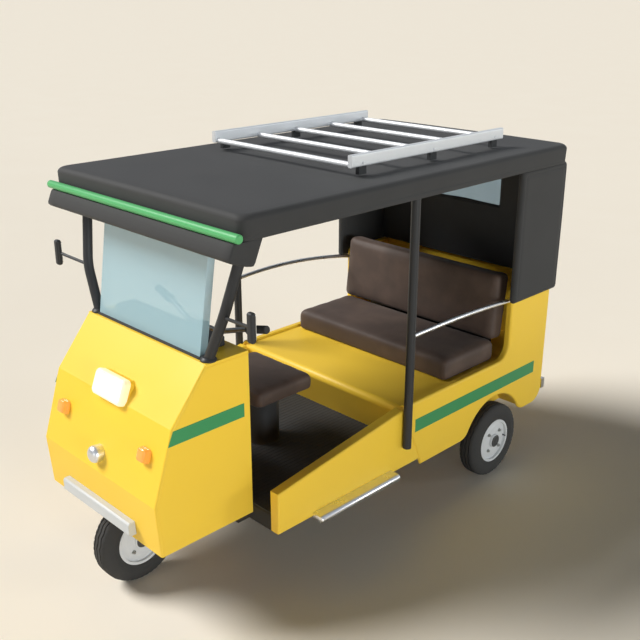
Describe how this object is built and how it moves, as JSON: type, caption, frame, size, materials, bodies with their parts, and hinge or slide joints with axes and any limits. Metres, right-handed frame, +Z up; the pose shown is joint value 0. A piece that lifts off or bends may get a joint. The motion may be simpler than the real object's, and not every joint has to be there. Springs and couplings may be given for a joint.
{
  "type": "auto rickshaw",
  "caption": "Three-wheeled passenger vehicle with an open cab, faceted nose, rear tub with bench, flat hood with roof rack and handlebar steering.",
  "frame": {"origin": "bottom centre of the bounding box, on the ground the wheels stand on", "axes": "-Y is the way the vehicle drives, +X its left side, +Z up"},
  "size_m": [1.4206, 2.601, 1.872],
  "materials": {
    "yellow_paint": "gloss enamel",
    "hood_canvas": "coated canvas",
    "black_paint": "satin",
    "green_paint": "gloss enamel",
    "clear_glass": "polished",
    "brown_vinyl": "grained",
    "grab_chrome": "polished",
    "silver_paint": "satin",
    "rack_alloy": "brushed",
    "lamp_lens": "clear lens",
    "amber_lens": "moulded",
    "red_lens": "moulded",
    "floor_rubber": "ribbed matting",
    "chassis_steel": "matt",
    "engine_iron": "as cast",
    "tyre_rubber": "moulded",
    "rim_paint": "satin silver",
    "grip_rubber": "moulded",
    "bar_steel": "satin"
  },
  "bodies": {
    "body": {"a_pillars": "black_paint", "b_pillars": "black_paint", "bench_backrest": "brown_vinyl", "bench_cushion": "brown_vinyl", "chassis_rails": "chassis_steel", "cowl_sides": "yellow_paint", "cross_members": "chassis_steel", "dash_shelf": "yellow_paint", "dashboard": "black_paint", "driver_seat": "brown_vinyl", "engine_block": "engine_iron", "floor_plate": "floor_rubber", "front_bumper": "silver_paint", "grab_rails": "grab_chrome", "header": "hood_canvas", "headlamp": "lamp_lens", "hood": "hood_canvas", "horn_dome": "grab_chrome", "indicators": "amber_lens", "mirrors": "black_paint", "nose_panel": "yellow_paint", "rack_bars": "rack_alloy", "rack_feet": "rack_alloy", "rack_rails": "rack_alloy", "rear_bumper": "grab_chrome", "rear_curtain": "hood_canvas", "rear_suspension": "chassis_steel", "rear_window": "clear_glass", "roof_bar": "green_paint", "seat_deck": "yellow_paint", "seat_pedestal": "black_paint", "side_curtains": "hood_canvas", "side_walls": "yellow_paint", "steering_head": "chassis_steel", "step_bars": "grab_chrome", "tail_lamps": "red_lens", "tub_rear_panel": "yellow_paint", "tub_sides": "yellow_paint", "windscreen": "clear_glass"},
    "steering": {"handlebar": "bar_steel", "handlebar_grips": "grip_rubber", "steering_column": "chassis_steel"},
    "front_wheel": {"front_tyre": "tyre_rubber", "front_rim": "rim_paint"},
    "rear_wheel_left": {"rear_left_tyre": "tyre_rubber", "rear_left_rim": "rim_paint"},
    "rear_wheel_right": {"rear_right_tyre": "tyre_rubber", "rear_right_rim": "rim_paint"}
  },
  "joints": [
    {"name": "steer", "type": "hinge", "parent": "body", "child": "steering", "pos_m": [0, -0.6755, 1.08], "axis": [0, 0.4226, 0.9063], "range_deg": [-35, 35]},
    {"name": "front_wheel_spin", "type": "hinge", "parent": "steering", "child": "front_wheel", "pos_m": [0, -1.0955, 0.205], "axis": [1, 0, 0], "continuous": true},
    {"name": "rear_wheel_left_spin", "type": "hinge", "parent": "body", "child": "rear_wheel_left", "pos_m": [0.568, 0.8045, 0.205], "axis": [1, 0, 0], "continuous": true},
    {"name": "rear_wheel_right_spin", "type": "hinge", "parent": "body", "child": "rear_wheel_right", "pos_m": [-0.568, 0.8045, 0.205], "axis": [1, 0, 0], "continuous": true}
  ]
}
